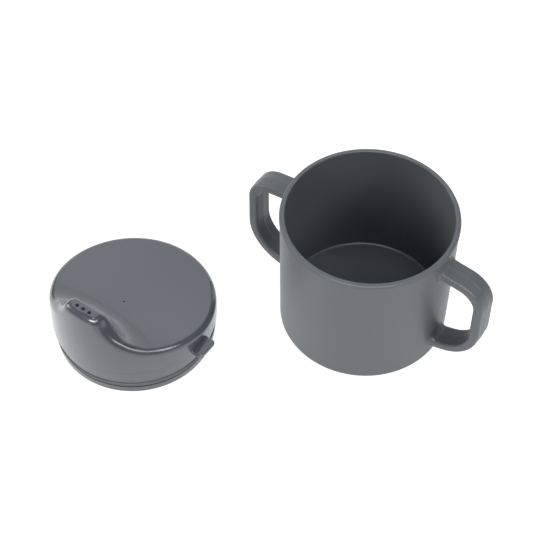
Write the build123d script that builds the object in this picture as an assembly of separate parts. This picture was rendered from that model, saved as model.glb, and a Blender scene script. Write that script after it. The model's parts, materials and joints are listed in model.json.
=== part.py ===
from build123d import *
import os
from math import exp, hypot

# A toddler's training cup with two handles, and its spouted lid lying beside it.
# Millimetres, +Z up. The origin is the centre of the cup's base, +X runs through
# the right-hand handle and the drinking side faces -Y.

# Cup wall
mouth_radius = 37.5
cup_wall = 2.5
cup_height = 68.5
foot_draft = 0.7
bore_draft = 0.2
mouth_seat_depth = 14.0
floor_thickness = 3.0
foot_round = 1.0
floor_corner_round = 1.2
rim_outer_round = 1.3
rim_inner_round = 0.5
rim_bead_height = 2.2
rim_bead_step = 0.3

# Handles, each a band bent into a loop, a little thinner at its sides than along its
# middle. The draft is in degrees.
handle_projection = 21.7
handle_width = 11.3
handle_band = 5.0
handle_side_draft = 3.0
handle_below_rim = 6.7
handle_above_foot = 5.5
handle_top_fall = 2.8
handle_low_rise = 7.2
handle_top_bend = 11.0
handle_low_bend = 20.2
handle_edge_round = 1.2
handle_root_round = 2.5
handle_root_length = 3.5

# Lid body
plug_clearance = 0.55
plug_height = 12.0
plug_wall = 2.2
flange_step = 1.2
lid_top_wall = 2.4
plug_foot_round = 0.6
flange_round = 0.25
shoulder_round = 3.2

# Lid top, which climbs from the back to the drinking side: its rise over the
# flange at the middle, then its slope and curve per millimetre forwards
top_rise = 12.6
top_slope = 0.192
top_curve = 0.00193

# Spout, a lip with a level top that sweeps down into the lid's top. The runs say
# how far out the sweep falls most, and the roll, above 1, rounds its back edge.
spout_top_rise = 36.2
spout_half_width = 8.7
spout_thickness = 6.6
spout_flank_run = 6.2
spout_back_run = 4.4
spout_back_roll = 1.5
spout_edge_softness = 1.2
spout_wall = 2.1

# How far the lid's wall leans in at this height over the flange
lean_height = 40.0
lean_inset = 3.2

# Holes in the lid
drink_hole_diameter = 1.8
drink_hole_pitch = 3.4
drink_hole_inset = 3.4
vent_hole_diameter = 1.0
vent_hole_offset = 6.2

# Lift tab, its top face this far over the flange
tab_width = 11.0
tab_length = 5.0
tab_thickness = 2.0
tab_rise = 4.8
tab_corner_round = 1.8
tab_edge_round = 0.5

# Seal ring round the plug, its middle this far over the plug's foot
seal_height = 5.5
seal_channel_width = 3.6
seal_channel_depth = 1.1
seal_lip_width = 1.9
seal_lip_proud = 0.4
seal_lip_round = 0.75
seal_base_gap = 0.5

# Where the lid lies, from the cup's axis to the lid's, and its turn in degrees
lid_place = (-82.2, -68.5)
lid_turn = -1.5

# How far cutters and joined solids run past the faces that they meet
overrun = 2.0

# How finely the lid's top is drawn
top_grid_steps = 48
top_grid_tolerance = 0.05

# Worked out from the sizes above
rim_radius = mouth_radius + cup_wall
upper_radius = rim_radius - rim_bead_step
bead_z = cup_height - rim_bead_height
handle_reach = rim_radius + handle_projection
handle_root_x = rim_radius + handle_root_length
plug_radius = mouth_radius - plug_clearance
plug_bore = plug_radius - plug_wall
seal_bed = plug_radius - seal_channel_depth
lid_radius = plug_radius + flange_step
tip_radius = lid_radius - lean_inset
spout_back = tip_radius - spout_thickness
lean_end = plug_height + lean_height


def turned(outline):
    """A closed outline in the XZ plane, turned about Z, with its seam at +Y."""
    return Rot(0, 0, 90) * revolve(make_face(Plane.XZ * outline), axis=Axis.Z)


def ring_edges(solid):
    """The round edges of a solid, lowest first."""
    return solid.edges().filter_by(GeomType.CIRCLE).sort_by(Axis.Z)


def cup_wall_solid():
    foot_radius = upper_radius - foot_draft
    outline = Polyline(
        (0, 0), (foot_radius, 0), (upper_radius, bead_z), (rim_radius, bead_z + rim_bead_step),
        (rim_radius, cup_height), (0, cup_height), close=True,
    )
    return turned(outline)


def cup_hollow_solid():
    """The drink's space: straight at the mouth, where a lid seats, then tapering."""
    floor_radius = mouth_radius - bore_draft
    lip = cup_height - rim_inner_round
    flare = mouth_radius + rim_inner_round
    side = Polyline(
        (0, floor_thickness), (floor_radius, floor_thickness),
        (mouth_radius, cup_height - mouth_seat_depth), (mouth_radius, lip),
    )
    round_over = RadiusArc((mouth_radius, lip), (flare, cup_height), rim_inner_round)
    top = Polyline(
        (flare, cup_height), (flare, cup_height + overrun), (0, cup_height + overrun), (0, floor_thickness),
    )
    hollow = turned(Wire([*side.edges(), round_over, *top.edges()]))
    return fillet(ring_edges(hollow)[0], floor_corner_round)


def handle_band_solid():
    """One handle as a flat band bent into a loop, on the +X side."""
    half = handle_band / 2
    root = mouth_radius - overrun
    reach = handle_reach - half
    top = cup_height - handle_below_rim - half
    bottom = handle_above_foot + half
    route = FilletPolyline(
        (root, top), (reach, top - handle_top_fall), (reach, bottom + handle_low_rise), (root, bottom),
        radius=[handle_top_bend, handle_low_bend],
    )
    middle = Plane.XZ * trace(route, handle_band)
    band = extrude(middle, amount=handle_width / 2, both=True, taper=handle_side_draft)
    sides = band.faces().group_by(Axis.Y)
    side_edges = [*sides[0].edges(), *sides[-1].edges()]
    return fillet([e for e in side_edges if e.center().X > root + half], handle_edge_round)


def wall_radius_at(z):
    return upper_radius - foot_draft * (1 - z / bead_z)


def is_root_edge(edge):
    """True for an edge where a handle meets the cup's wall."""
    near = 0.1
    spots = [edge @ u for u in (0.0, 0.5, 1.0)]
    on_wall = all(abs(hypot(p.X, p.Y) - wall_radius_at(p.Z)) < near for p in spots)
    on_handle = all(abs(p.Y) < handle_width / 2 + near for p in spots)
    return on_wall and on_handle and foot_round < edge.center().Z < bead_z


def cup_with_handles():
    band = handle_band_solid()
    joined = cup_wall_solid() + band + mirror(band, about=Plane.YZ)
    joined = fillet([e for e in joined.edges() if is_root_edge(e)], handle_root_round)
    joined = fillet(ring_edges(joined)[-1], rim_outer_round)
    joined = fillet(ring_edges(joined)[0], foot_round)
    return joined - cup_hollow_solid()


def cup_parts():
    """The cup with its handle stubs, and the two loops cut off beyond the stubs."""
    joined = cup_with_handles()
    side = 2 * cup_height
    beyond = Pos(handle_root_x, 0, 0) * Box(side, side, side, align=(Align.MIN, Align.CENTER, Align.CENTER))
    right = joined & beyond
    left = joined & mirror(beyond, about=Plane.YZ)
    return joined - right - left, left, right


def soft_step(x):
    """Zero well below 0 and x well above it, with a soft bend between."""
    return (x + hypot(x, spout_edge_softness)) / 2


def spout_share(s, t, inset):
    """How far the lid's top is swept up to the spout's top, from 0 to 1."""
    flank = soft_step(abs(t) - spout_half_width + inset) / spout_flank_run
    back = soft_step(spout_back + inset - s) / spout_back_run
    return exp(-flank - back ** spout_back_roll)


def lid_top_height(s, t, inset, drop):
    """Height of the lid's top, s forwards of its middle and t to the right.

    An inset draws the spout's sides in and a drop lowers it all, for the hollow.
    """
    sheet = top_rise + top_slope * s + top_curve * s * s
    rise = sheet + (spout_top_rise - sheet) * spout_share(s, t, inset)
    return plug_height + rise - drop


def lid_top_space(inset=0.0, drop=0.0):
    """Everything below the lid's top, as seen with the spout at -Y."""
    reach = lid_radius + overrun
    places = [reach * (2 * i / top_grid_steps - 1) for i in range(top_grid_steps + 1)]
    grid = [[Vector(t, -s, lid_top_height(s, t, inset, drop)) for t in places] for s in places]
    skin = Face.make_surface_from_array_of_points(grid, tol=top_grid_tolerance, min_deg=3, max_deg=3)
    return Solid.extrude(skin, Vector(0, 0, -2 * lean_end))


def lid_wall_solid(radius, tip, foot_z):
    """A round wall that leans in, ever more, towards the height of the spout's tip."""
    lean = TangentArc((radius, foot_z), (tip, lean_end), tangent=(0, 1))
    rest = Polyline((tip, lean_end), (0, lean_end), (0, foot_z), (radius, foot_z))
    return turned(Wire([lean, *rest.edges()]))


def lid_outer_solid():
    body = lid_wall_solid(lid_radius, tip_radius, plug_height) & lid_top_space()
    shoulder = [e for e in body.edges().filter_by(GeomType.BSPLINE) if e.length > lid_radius]
    body = fillet(shoulder, shoulder_round)
    return fillet(ring_edges(body)[0], flange_round)


def lid_hollow_solid():
    below = Cylinder(plug_bore, plug_height + 2 * overrun, align=(Align.CENTER, Align.CENTER, Align.MIN))
    above = lid_wall_solid(plug_bore, tip_radius - spout_wall, plug_height)
    above &= lid_top_space(inset=spout_wall, drop=lid_top_wall)
    return Pos(0, 0, -overrun) * below + above


def ring_solid(inner, outer, width):
    return Pos(0, 0, seal_height) * (Cylinder(outer, width) - Cylinder(inner, width))


def plug_solid():
    plug = Cylinder(plug_radius, plug_height + overrun, align=(Align.CENTER, Align.CENTER, Align.MIN))
    plug = fillet(ring_edges(plug)[0], plug_foot_round)
    return plug - ring_solid(seal_bed, plug_radius + overrun, seal_channel_width)


def lid_seal():
    """A soft ring: a broad base in the plug's channel and a rounded lip that stands proud."""
    base = ring_solid(seal_bed, plug_radius - seal_base_gap, seal_channel_width)
    lip = ring_solid(seal_bed, plug_radius + seal_lip_proud, seal_lip_width)
    lip_edges = [e for e in ring_edges(lip) if e.radius > plug_radius]
    return base + fillet(lip_edges, seal_lip_round)


def lift_tab_solid():
    """A thumb tab on the lid's +X side, rooted in the lid's wall."""
    blank = Box(
        tab_length + overrun, tab_width, tab_thickness, align=(Align.MIN, Align.CENTER, Align.MAX)
    )
    blank = fillet(blank.edges().filter_by(Axis.Z).group_by(Axis.X)[-1], tab_corner_round)
    layers = blank.edges().group_by(Axis.Z)
    blank = fillet(layers[0] + layers[-1], tab_edge_round)
    return Pos(lid_radius - overrun, 0, plug_height + tab_rise) * blank


def lid_holes():
    """Three drinking holes down through the spout, and the air hole in the middle."""
    down = (Align.CENTER, Align.CENTER, Align.MAX)
    drink = Cylinder(drink_hole_diameter / 2, lean_height, align=down)
    out = tip_radius - drink_hole_inset
    holes = [Pos(i * drink_hole_pitch, -out, lean_end) * drink for i in (-1, 0, 1)]
    vent = Cylinder(vent_hole_diameter / 2, lean_height, align=down)
    return [*holes, Pos(0, -vent_hole_offset, lean_end) * vent]


def lid_shell():
    shell = lid_outer_solid() + plug_solid() + lift_tab_solid() - lid_hollow_solid()
    for hole in lid_holes():
        shell -= hole
    return shell


def main():
    os.makedirs("parts", exist_ok=True)
    body, left, right = cup_parts()
    place = Pos(*lid_place, 0) * Rot(0, 0, lid_turn)
    nodes = {
        "cup_body": body,
        "left_handle": left,
        "right_handle": right,
        "lid_shell": place * lid_shell(),
        "lid_seal": place * lid_seal(),
    }
    for name, solid in nodes.items():
        export_step(solid, f"parts/{name}.step")


if __name__ == "__main__":
    main()
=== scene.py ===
import json
from math import radians

import bpy
from bpy.props import FloatProperty, FloatVectorProperty, PointerProperty
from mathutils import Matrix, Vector


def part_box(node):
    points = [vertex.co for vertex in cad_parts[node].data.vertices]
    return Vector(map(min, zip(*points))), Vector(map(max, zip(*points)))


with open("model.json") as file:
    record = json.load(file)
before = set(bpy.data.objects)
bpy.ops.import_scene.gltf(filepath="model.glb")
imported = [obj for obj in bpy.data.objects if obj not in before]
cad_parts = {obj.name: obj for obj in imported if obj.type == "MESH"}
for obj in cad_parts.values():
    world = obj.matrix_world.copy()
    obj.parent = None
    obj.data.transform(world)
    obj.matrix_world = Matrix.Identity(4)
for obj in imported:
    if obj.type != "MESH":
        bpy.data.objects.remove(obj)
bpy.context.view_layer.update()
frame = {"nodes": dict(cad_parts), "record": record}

bl_info = {
    "name": "Training cup",
    "version": (1, 0, 0),
    "blender": (4, 5, 0),
    "location": "3D View > Sidebar > Training Cup",
    "description": "Dresses a toddler's two-handled training cup and its spouted lid",
    "category": "Object",
}

CUP_NODES = ("cup_body", "left_handle", "right_handle")
LID_NODES = ("lid_shell",)
SEAL_NODES = ("lid_seal",)

# What the finishes measure from: the cup's mouth, and the foot of the lid's plug in
# the lid's own coordinates
MOUTH = next(m for m in frame["record"]["mounts"] if m["name"] == "mouth")
MOUTH_RADIUS = MOUTH["dims"]["r_mm"] / 1000
LID_LOW, LID_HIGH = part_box("lid_shell")
SEAL_LOW, SEAL_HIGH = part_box("lid_seal")
SEAL_RADIUS = (SEAL_HIGH[0] - SEAL_LOW[0]) / 2
SEAL_MIDDLE = [(low + high) / 2 for low, high in zip(SEAL_LOW, SEAL_HIGH)]
INTO_LID = frame["nodes"]["lid_shell"].matrix_world.inverted()
LID_FOOT = INTO_LID @ Vector((SEAL_MIDDLE[0], SEAL_MIDDLE[1], LID_LOW[2]))

# Edges that turn more than this stay crisp
CRISP_EDGE = radians(28)

# The mould's lines begin this far outside the bore, and fade in over this width
LINE_START = 0.0006
LINE_FADE = 0.0003

# Spot sizes of each finish: wide clouds, small flecks and the grain of its surface
CUP_CLOUD, CUP_FLECK, CUP_GRAIN = 0.018, 0.0011, 0.00035
LID_CLOUD, LID_FLECK, LID_GRAIN = 0.022, 0.0009, 0.0005
SEAL_BLOOM, SEAL_GRAIN = 0.004, 0.0004

# Depths of the lid's witness line and of the fine grain on the lid and the seal
WITNESS_DEPTH = 0.00005
LID_GRAIN_DEPTH = 0.000006
SEAL_GRAIN_DEPTH = 0.000008

# Share of the lid's colour kept in the painted shade along its witness line
WITNESS_PAINTED_SHADE = 0.62
SKIN_ROUGHNESS = 0.08
FLOOR_DROP = 0.0002

COOL = (0.72, 0.84, 1.0)
DAYLIGHT = (0.92, 0.95, 1.0)
WARM = (1.0, 0.98, 0.95)
WHITE = (1.0, 1.0, 1.0)
OVER_BOTH = (-0.04, -0.03, 0.03)

# Each lamp's name, place, aim, width and height, watts, colour, and whether it lights
# surfaces evenly and whether it is seen in their gloss
LAMPS = (
    ("top_softbox", (-0.05, 0.1, 1.7), OVER_BOTH, (0.5, 0.5), 3.7, COOL, True, True),
    ("back_softbox", (-0.58, 0.85, 1.23), OVER_BOTH, (1.6, 1.2), 8.0, DAYLIGHT, True, True),
    ("left_softbox", (-1.3, -0.5, 0.7), OVER_BOTH, (0.8, 0.8), 9.0, WARM, True, True),
    ("right_softbox", (0.95, 0.12, 0.90), (0.0, 0.0, 0.03), (0.5, 0.6), 5.4, WHITE, True, True),
    ("front_strip", (0.41, -0.90, 1.21), (-0.04, -0.06, 0.04), (1.9, 0.5), 50.0, WHITE, False, True),
    ("front_fill", (0.0, -1.25, 0.62), (0.0, 0.0, 0.04), (0.8, 0.7), 5.0, WHITE, True, False),
    ("back_backdrop", (-0.62, 1.35, 0.38), OVER_BOTH, (2.4, 0.8), 6.2, WHITE, False, True),
)

MATT_SETTING = "a share from 0, mirror-like, to 1, fully matt"


class Signal:
    """A value in a shader that adds its own Math nodes when it is used in a sum."""

    def __init__(self, finish, socket):
        self.finish = finish
        self.socket = socket

    def math(self, operation, *values):
        return self.finish.node("ShaderNodeMath", {"operation": operation}, *values)

    def __add__(self, other):
        return self.math("ADD", self, other)

    def __radd__(self, other):
        return self.math("ADD", other, self)

    def __sub__(self, other):
        return self.math("SUBTRACT", self, other)

    def __rsub__(self, other):
        return self.math("SUBTRACT", other, self)

    def __mul__(self, other):
        return self.math("MULTIPLY", self, other)

    def __rmul__(self, other):
        return self.math("MULTIPLY", other, self)

    def __truediv__(self, other):
        return self.math("DIVIDE", self, other)

    def __rtruediv__(self, other):
        return self.math("DIVIDE", other, self)

    def __pow__(self, other):
        return self.math("POWER", self, other)

    def __abs__(self):
        return self.math("ABSOLUTE", self)

    def clamped(self):
        return self.math("MINIMUM", self.math("MAXIMUM", self, 0.0), 1.0)

    def above(self, edge, softness):
        """Rises from 0 to 1 as the value passes an edge."""
        return ((self - edge) / softness + 0.5).clamped()


class Finish:
    """A material in the making: one surface shader and the nodes that feed it."""

    def __init__(self, name):
        self.material = bpy.data.materials.new(name)
        self.material.use_nodes = True
        self.tree = self.material.node_tree
        self.surface = self.tree.nodes["Principled BSDF"]

    def put(self, socket, value):
        """Sets a socket to a value, or links it to a signal."""
        if isinstance(value, Signal):
            self.tree.links.new(value.socket, socket)
        elif value is not None:
            socket.default_value = value

    def node(self, kind, settings=None, *values, output=0, **named):
        """Adds a node, with its settings first and then its sockets' values or links."""
        made = self.tree.nodes.new(kind)
        for key, value in (settings or {}).items():
            setattr(made, key, value)
        for socket, value in zip(made.inputs, values):
            self.put(socket, value)
        for key, value in named.items():
            self.put(made.inputs[key], value)
        return Signal(self, made.outputs[output])

    def place(self):
        """The point being shaded and its three coordinates, in the object's own metres."""
        point = self.node("ShaderNodeTexCoord", output="Object")
        split = self.node("ShaderNodeSeparateXYZ", None, point).socket.node
        return point, *(Signal(self, split.outputs[axis]) for axis in "XYZ")

    def speckle(self, point, size, detail=2.0, roughness=0.5):
        """Cloudy noise from 0 to 1 whose spots are about one size across, in metres."""
        return self.node(
            "ShaderNodeTexNoise", {"noise_dimensions": "3D"},
            Vector=point, Scale=1 / size, Detail=detail, Roughness=roughness,
        )

    def blend(self, share, first, second):
        """A colour between two colours."""
        mix = self.tree.nodes.new("ShaderNodeMix")
        mix.data_type = "RGBA"
        self.put(mix.inputs["Factor"], share)
        self.put(mix.inputs[6], first)
        self.put(mix.inputs[7], second)
        return Signal(self, mix.outputs[2])

    def mottled(self, share, colour, darkest, lightest):
        """A colour that wanders between a darker and a lighter shade of itself."""
        return self.blend(share, shade(colour, darkest), shade(colour, lightest))

    def relief(self, height, depth, under=None):
        """A surface normal for a relief this deep, in metres, over another one."""
        return self.node(
            "ShaderNodeBump", None,
            Strength=1.0, Distance=depth, Height=height, Normal=under,
        )

    def set(self, **values):
        for key, value in values.items():
            self.put(self.surface.inputs[key.replace("_", " ")], value)


def shade(colour, share):
    """A colour made darker or lighter by a share, fully opaque."""
    return (*(share * channel for channel in colour[:3]), 1.0)


class CupSettings(bpy.types.PropertyGroup):
    plastic: FloatVectorProperty(
        name="Cup plastic", description="Base colour of the cup and its handles",
        subtype="COLOR", size=4, min=0.0, max=1.0, default=(0.124, 0.137, 0.147, 1.0),
    )
    roughness: FloatProperty(
        name="Cup roughness", description="Shine of the cup, " + MATT_SETTING,
        subtype="FACTOR", min=0.0, max=1.0, default=0.42,
    )
    sheen: FloatProperty(
        name="Cup sheen", description="Strength of the cup's highlights, 0.5 for a plain plastic",
        subtype="FACTOR", min=0.0, max=1.0, default=0.3,
    )
    grain: FloatProperty(
        name="Cup grain", description="Depth of the fine moulded grain",
        subtype="DISTANCE", unit="LENGTH", min=0.0, default=0.000012,
    )
    parting_width: FloatProperty(
        name="Parting line width",
        description="Half the width of the thin ridge where the mould's halves met",
        subtype="DISTANCE", unit="LENGTH", min=0.00001, default=0.0005,
    )
    parting_height: FloatProperty(
        name="Parting line height", description="Height of that ridge over the plastic",
        subtype="DISTANCE", unit="LENGTH", min=0.0, default=0.0001,
    )


class LidSettings(bpy.types.PropertyGroup):
    plastic: FloatVectorProperty(
        name="Lid plastic", description="Base colour of the lid",
        subtype="COLOR", size=4, min=0.0, max=1.0, default=(0.080, 0.089, 0.103, 1.0),
    )
    roughness: FloatProperty(
        name="Lid roughness", description="Shine of the lid, " + MATT_SETTING,
        subtype="FACTOR", min=0.0, max=1.0, default=0.2,
    )
    skin: FloatProperty(
        name="Lid skin", description="Strength of the lid's polished skin, from 0 to 1",
        subtype="FACTOR", min=0.0, max=1.0, default=0.45,
    )
    # The witness line is a shallow groove relief with painted shade darkening the colour along it
    witness_height: FloatProperty(
        name="Witness line height",
        description="Height of the mould's witness line over the plug's foot",
        subtype="DISTANCE", unit="LENGTH", min=0.0, default=0.0159,
    )
    witness_width: FloatProperty(
        name="Witness line width", description="Half the width of the witness line",
        subtype="DISTANCE", unit="LENGTH", min=0.00001, default=0.00035,
    )
    seal: FloatVectorProperty(
        name="Seal silicone", description="Base colour of the soft seal ring",
        subtype="COLOR", size=4, min=0.0, max=1.0, default=(0.100, 0.112, 0.122, 1.0),
    )
    seal_roughness: FloatProperty(
        name="Seal roughness", description="Shine of the seal, " + MATT_SETTING,
        subtype="FACTOR", min=0.0, max=1.0, default=0.58,
    )


class StageSettings(bpy.types.PropertyGroup):
    camera_place: FloatVectorProperty(
        name="Camera place",
        description="Where the camera stands, from the centre of the cup's base",
        subtype="TRANSLATION", unit="LENGTH", default=(0.2017, -0.3735, 0.57185),
    )
    camera_turn: FloatProperty(
        name="Camera turn", description="Turn of the camera about the vertical",
        subtype="ANGLE", default=radians(34.3),
    )
    camera_tilt: FloatProperty(
        name="Camera tilt", description="Tilt of the camera up from straight down",
        subtype="ANGLE", default=radians(37.895),
    )
    lens: FloatProperty(
        name="Lens",
        description="Focal length for a frame 36 millimetres wide, in millimetres",
        min=1.0, default=100.0,
    )
    floor_size: FloatProperty(
        name="Floor size", description="Length of the floor's side",
        subtype="DISTANCE", unit="LENGTH", min=0.1, default=6.0,
    )
    floor_glow: FloatProperty(
        name="Floor glow", description="How much the white floor glows to stay free of shadow",
        min=0.0, default=0.80,
    )
    room_light: FloatProperty(
        name="Room light", description="Strength of the even light from all around",
        min=0.0, default=0.16,
    )


def dress(nodes, material):
    """Gives CAD nodes a finish and smooth shading with crisp edges."""
    for name in nodes:
        obj = frame["nodes"][name]
        obj.data.materials.clear()
        obj.data.materials.append(material)
        obj.data.shade_smooth()
        obj.data.set_sharp_from_angle(angle=CRISP_EDGE)


def cup_finish(look):
    """Matt moulded plastic with a fine grain and the mould's parting line."""
    finish = Finish("cup_plastic")
    point, x, y, z = finish.place()
    cloud = finish.speckle(point, CUP_CLOUD, detail=3.0)
    fleck = finish.speckle(point, CUP_FLECK, detail=1.0)
    grain = finish.speckle(point, CUP_GRAIN, detail=2.0, roughness=0.6)
    radius = (x * x + y * y) ** 0.5
    outside = radius.above(MOUTH_RADIUS + LINE_START, LINE_FADE)
    ridge = (1.0 - abs(y) / look.parting_width).clamped() * outside
    finish.set(
        Base_Color=finish.mottled(cloud * 0.7 + fleck * 0.3, look.plastic, 0.93, 1.07),
        Specular_IOR_Level=look.sheen,
        Roughness=look.roughness + (cloud - 0.5) * 0.08 - ridge * 0.08,
        Normal=finish.relief(ridge, look.parting_height, finish.relief(grain, look.grain)),
    )
    return finish.material


def lid_finish(look):
    """Glossy moulded plastic with a faint witness line low on its wall: a shallow groove, with
    painted shade darkening the colour along it.
    """
    finish = Finish("lid_plastic")
    point, x, y, z = finish.place()
    cloud = finish.speckle(point, LID_CLOUD, detail=3.0)
    fleck = finish.speckle(point, LID_FLECK, detail=1.0)
    grain = finish.speckle(point, LID_GRAIN, detail=2.0, roughness=0.6)
    radius = ((x - LID_FOOT.x) ** 2.0 + (y - LID_FOOT.y) ** 2.0) ** 0.5
    # Mask of the witness line: it drives the groove's relief and the painted shade in the colour
    off_line = abs(z - LID_FOOT.z - look.witness_height) / look.witness_width
    groove_and_painted_shade = (1.0 - off_line).clamped() * radius.above(SEAL_RADIUS, LINE_FADE)
    plastic = finish.mottled(cloud * 0.7 + fleck * 0.3, look.plastic, 0.94, 1.06)
    grained = finish.relief(grain, LID_GRAIN_DEPTH)
    finish.set(
        # Painted shade: the plastic's colour is darkened along the witness line
        Base_Color=finish.blend(groove_and_painted_shade, plastic, shade(look.plastic, WITNESS_PAINTED_SHADE)),
        Coat_Weight=look.skin,
        Coat_Roughness=SKIN_ROUGHNESS,
        Roughness=look.roughness + (cloud - 0.5) * 0.06,
        Normal=finish.relief(1.0 - groove_and_painted_shade, WITNESS_DEPTH, grained),
    )
    return finish.material


def seal_finish(look):
    """Soft silicone, duller than the plastic, with a dusty bloom."""
    finish = Finish("seal_silicone")
    point = finish.node("ShaderNodeTexCoord", output="Object")
    bloom = finish.speckle(point, SEAL_BLOOM, detail=4.0, roughness=0.6)
    grain = finish.speckle(point, SEAL_GRAIN, detail=2.0)
    finish.set(
        Base_Color=finish.mottled(bloom, look.seal, 0.9, 1.12),
        Roughness=look.seal_roughness + (bloom - 0.5) * 0.1,
        Normal=finish.relief(grain, SEAL_GRAIN_DEPTH),
    )
    return finish.material


class TRAININGCUP_OT_cup(bpy.types.Operator):
    """Dress the cup body and its two handles in matt plastic"""

    bl_idname = "training_cup.cup"
    bl_label = "Dress the cup"

    def execute(self, context):
        dress(CUP_NODES, cup_finish(context.scene.training_cup_cup))
        return {"FINISHED"}


class TRAININGCUP_OT_lid(bpy.types.Operator):
    """Dress the lid in glossy plastic"""

    bl_idname = "training_cup.lid"
    bl_label = "Dress the lid"

    def execute(self, context):
        dress(LID_NODES, lid_finish(context.scene.training_cup_lid))
        return {"FINISHED"}


class TRAININGCUP_OT_seal(bpy.types.Operator):
    """Dress the lid's seal ring in soft silicone"""

    bl_idname = "training_cup.seal"
    bl_label = "Dress the seal"

    def execute(self, context):
        dress(SEAL_NODES, seal_finish(context.scene.training_cup_lid))
        return {"FINISHED"}


def add_lamp(name, place, aim, size, watts, colour, even, glossy):
    """A soft rectangular lamp that faces a point."""
    light = bpy.data.lights.new(name, "AREA")
    light.shape = "RECTANGLE"
    light.size, light.size_y = size
    light.energy = watts
    light.color = colour
    lamp = bpy.data.objects.new(name, light)
    lamp.location = place
    lamp.rotation_euler = (Vector(aim) - Vector(place)).to_track_quat("-Z", "Y").to_euler()
    lamp.visible_diffuse = even
    lamp.visible_glossy = glossy
    bpy.context.scene.collection.objects.link(lamp)


def add_floor(stage):
    """A plain white floor just under the object, glowing a little."""
    half = stage.floor_size / 2
    corners = [(-half, -half, 0), (half, -half, 0), (half, half, 0), (-half, half, 0)]
    mesh = bpy.data.meshes.new("floor")
    mesh.from_pydata(corners, [], [(0, 1, 2, 3)])
    floor = bpy.data.objects.new("floor", mesh)
    floor.location = (0, 0, -FLOOR_DROP)
    bpy.context.scene.collection.objects.link(floor)
    finish = Finish("floor_white")
    finish.set(
        Base_Color=shade(WHITE, 0.5), Roughness=0.9,
        Emission_Color=shade(WHITE, 1.0), Emission_Strength=stage.floor_glow,
    )
    mesh.materials.append(finish.material)


def add_camera(stage):
    lens = bpy.data.cameras.new("camera")
    lens.sensor_width = 36.0
    lens.lens = stage.lens
    camera = bpy.data.objects.new("camera", lens)
    camera.location = stage.camera_place
    camera.rotation_euler = (stage.camera_tilt, 0.0, stage.camera_turn)
    bpy.context.scene.collection.objects.link(camera)
    bpy.context.scene.camera = camera


def add_room_light(strength):
    world = bpy.data.worlds.new("studio")
    world.use_nodes = True
    background = world.node_tree.nodes["Background"]
    background.inputs["Color"].default_value = shade(WHITE, 1.0)
    background.inputs["Strength"].default_value = strength
    bpy.context.scene.world = world


class TRAININGCUP_OT_stage(bpy.types.Operator):
    """Set the pale floor, the soft studio lights and the camera"""

    bl_idname = "training_cup.stage"
    bl_label = "Set the stage"

    def execute(self, context):
        stage = context.scene.training_cup_stage
        add_floor(stage)
        add_room_light(stage.room_light)
        for lamp in LAMPS:
            add_lamp(*lamp)
        add_camera(stage)
        context.scene.view_settings.view_transform = "Standard"
        return {"FINISHED"}


class TRAININGCUP_PT_panel(bpy.types.Panel):
    """Sizes, colours and steps of the training cup"""

    bl_idname = "TRAININGCUP_PT_panel"
    bl_label = "Training Cup"
    bl_space_type = "VIEW_3D"
    bl_region_type = "UI"
    bl_category = "Training Cup"

    def draw(self, context):
        for name, group in SETTINGS.items():
            box = self.layout.box()
            for key in group.__annotations__:
                box.prop(getattr(context.scene, name), key)
        for operator in OPERATORS:
            self.layout.operator(operator.bl_idname)


SETTINGS = {
    "training_cup_cup": CupSettings,
    "training_cup_lid": LidSettings,
    "training_cup_stage": StageSettings,
}
OPERATORS = (
    TRAININGCUP_OT_cup,
    TRAININGCUP_OT_lid,
    TRAININGCUP_OT_seal,
    TRAININGCUP_OT_stage,
)
CLASSES = (*SETTINGS.values(), *OPERATORS, TRAININGCUP_PT_panel)


def register():
    for cls in CLASSES:
        bpy.utils.register_class(cls)
    for name, group in SETTINGS.items():
        setattr(bpy.types.Scene, name, PointerProperty(type=group))


def unregister():
    for name in SETTINGS:
        delattr(bpy.types.Scene, name)
    for cls in reversed(CLASSES):
        bpy.utils.unregister_class(cls)


def main():
    register()
    bpy.ops.training_cup.cup()
    bpy.ops.training_cup.lid()
    bpy.ops.training_cup.seal()
    bpy.ops.training_cup.stage()


if __name__ == "__main__":
    main()
